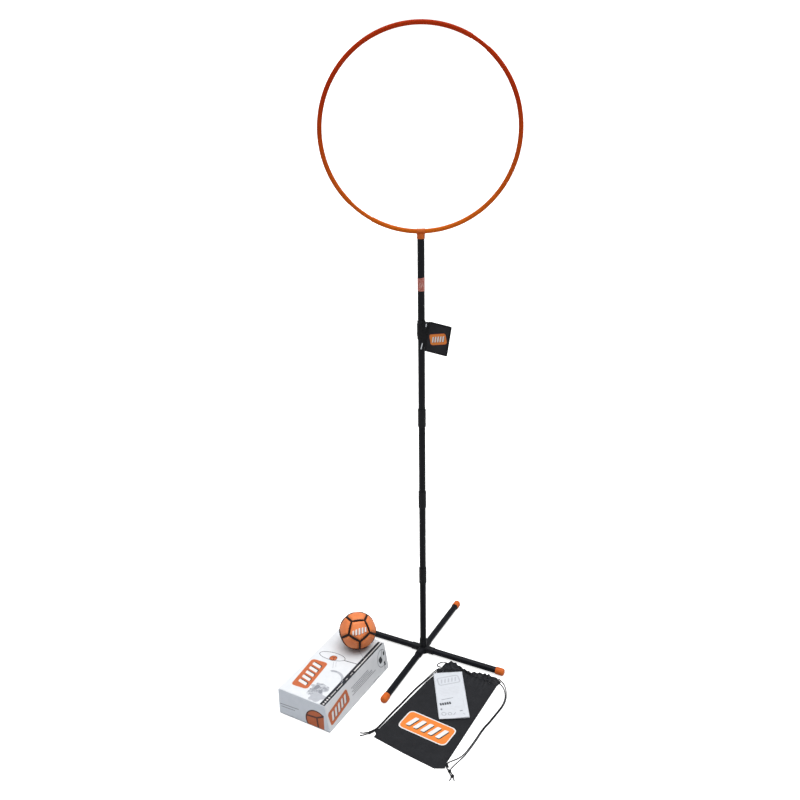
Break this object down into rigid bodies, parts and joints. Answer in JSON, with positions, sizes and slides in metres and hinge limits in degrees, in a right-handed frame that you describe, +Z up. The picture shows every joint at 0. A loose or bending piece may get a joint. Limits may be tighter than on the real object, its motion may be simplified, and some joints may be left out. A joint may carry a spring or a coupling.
{
  "type": "hoop goal game set",
  "caption": "Plug-together cross-foot stand with a tall pole and an upright hoop goal, with ball, carton, drawstring bag and folded leaflet.",
  "frame": {"origin": "on the floor under the pole, at the centre of the hub's flat pad", "axes": "+Z up along the pole, +X to the right in the hoop's plane, +Y through the hoop away from the tag's face"},
  "size_m": [0.778, 0.8981, 2.109],
  "materials": {
    "moulding_black": "satin moulded polypropylene",
    "moulding_orange": "satin moulded plastic",
    "tube_black": "satin black paint",
    "hoop_orange": "extruded tube, soft gloss",
    "label": "printed sticker",
    "webbing_black": "woven webbing",
    "tag_cloth": "coated cloth",
    "badge_print": "printed patch",
    "tie_white": "soft white plastic",
    "ball_seam": "dark seam and bladder rubber",
    "ball_panel": "soft synthetic leather",
    "ball_valve": "rubber plug",
    "carton_board": "coated white board, printed",
    "bag_cloth": "coated nylon cloth",
    "cord_black": "braided cord",
    "leaflet_paper": "printed paper"
  },
  "bodies": {
    "stand_hub": {"hub_fitting": "moulding_black"},
    "leg_1": {"leg_tube_1": "tube_black", "leg_cap_1": "moulding_orange"},
    "leg_2": {"leg_tube_2": "tube_black", "leg_cap_2": "moulding_orange"},
    "leg_3": {"leg_tube_3": "tube_black", "leg_cap_3": "moulding_orange"},
    "leg_4": {"leg_tube_4": "tube_black", "leg_cap_4": "moulding_orange"},
    "pole_1": {"pole_tube_1": "tube_black", "coupler_1": "moulding_black"},
    "pole_2": {"pole_tube_2": "tube_black", "coupler_2": "moulding_black"},
    "pole_3": {"pole_tube_3": "tube_black", "coupler_3": "moulding_black"},
    "pole_4": {"pole_tube_4": "tube_black", "coupler_4": "moulding_black"},
    "pole_5": {"pole_tube_5": "tube_black", "pole_label": "label"},
    "hoop": {"hoop_connector": "moulding_orange", "hoop_section_1": "hoop_orange", "hoop_section_2": "hoop_orange", "hoop_section_3": "hoop_orange", "hoop_section_4": "hoop_orange"},
    "tag": {"tag_strap": "webbing_black", "tag_cover": "tag_cloth", "tag_binding": "webbing_black", "tag_badge": "badge_print", "tag_ties": "tie_white"},
    "carton": {"carton_body": "carton_board", "carton_dust_flaps": "carton_board"},
    "carton_flap": {"carton_end_flap": "carton_board"},
    "ball": {"ball_carcass": "ball_seam", "ball_panels": "ball_panel", "ball_valve": "ball_valve"},
    "bag": {"bag_back": "bag_cloth", "bag_front": "bag_cloth", "bag_channel": "bag_cloth", "corner_loop_left": "webbing_black", "corner_loop_right": "webbing_black", "knot_left": "cord_black", "knot_right": "cord_black", "knot_right_end": "cord_black", "mouth_turn": "cord_black", "cord_left_outer": "cord_black", "cord_left_inner": "cord_black", "cord_right_outer": "cord_black", "cord_right_inner": "cord_black", "tail_left_outer": "cord_black", "tail_left_inner": "cord_black", "tail_right_outer": "cord_black", "tail_right_inner": "cord_black"},
    "leaflet": {"leaf_back": "leaflet_paper"},
    "leaflet_middle": {"leaf_middle": "leaflet_paper"},
    "leaflet_front": {"leaf_front": "leaflet_paper"}
  },
  "joints": [
    {"name": "leg_1_pull", "type": "slide", "parent": "stand_hub", "child": "leg_1", "axis": [0.8885, -0.4588, 0], "range_m": [0, 0.035]},
    {"name": "leg_2_pull", "type": "slide", "parent": "stand_hub", "child": "leg_2", "axis": [0.4588, 0.8885, 0], "range_m": [0, 0.035]},
    {"name": "leg_3_pull", "type": "slide", "parent": "stand_hub", "child": "leg_3", "axis": [-0.8885, 0.4588, 0], "range_m": [0, 0.035]},
    {"name": "leg_4_pull", "type": "slide", "parent": "stand_hub", "child": "leg_4", "axis": [-0.4588, -0.8885, 0], "range_m": [0, 0.035]},
    {"name": "pole_1_lift", "type": "slide", "parent": "stand_hub", "child": "pole_1", "axis": [0, 0, 1], "range_m": [0, 0.035]},
    {"name": "pole_2_lift", "type": "slide", "parent": "pole_1", "child": "pole_2", "axis": [0, 0, 1], "range_m": [0, 0.035]},
    {"name": "pole_3_lift", "type": "slide", "parent": "pole_2", "child": "pole_3", "axis": [0, 0, 1], "range_m": [0, 0.035]},
    {"name": "pole_4_lift", "type": "slide", "parent": "pole_3", "child": "pole_4", "axis": [0, 0, 1], "range_m": [0, 0.035]},
    {"name": "pole_5_lift", "type": "slide", "parent": "pole_4", "child": "pole_5", "axis": [0, 0, 1], "range_m": [0, 0.035]},
    {"name": "hoop_swivel", "type": "hinge", "parent": "pole_5", "child": "hoop", "pos_m": [0, 0, 1.513], "axis": [0, 0, 1], "continuous": true},
    {"name": "tag_turn", "type": "hinge", "parent": "pole_4", "child": "tag", "pos_m": [0, 0, 1.216], "axis": [0, 0, 1], "continuous": true},
    {"name": "carton_lift", "type": "slide", "parent": "stand_hub", "child": "carton", "axis": [0, 0, 1], "range_m": [0, 0.25]},
    {"name": "carton_flap_hinge", "type": "hinge", "parent": "carton", "child": "carton_flap", "pos_m": [-0.40331, -0.3547, 0.1], "axis": [-0.866, 0.5, 0], "range_deg": [0, 150]},
    {"name": "ball_lift", "type": "slide", "parent": "carton", "child": "ball", "axis": [0, 0, 1], "range_m": [0, 0.3]},
    {"name": "bag_lift", "type": "slide", "parent": "stand_hub", "child": "bag", "axis": [0, 0, 1], "range_m": [0, 0.2]},
    {"name": "leaflet_lift", "type": "slide", "parent": "bag", "child": "leaflet", "axis": [0, 0, 1], "range_m": [0, 0.1]},
    {"name": "leaf_middle_fold", "type": "hinge", "parent": "leaflet", "child": "leaflet_middle", "pos_m": [0.13725, -0.24081, 0.00575], "axis": [-0.0436, 0.999, 0], "range_deg": [0, 120]},
    {"name": "leaf_front_fold", "type": "hinge", "parent": "leaflet_middle", "child": "leaflet_front", "pos_m": [0.03675, -0.24519, 0.00635], "axis": [0.0436, -0.999, 0], "range_deg": [0, 165]}
  ]
}
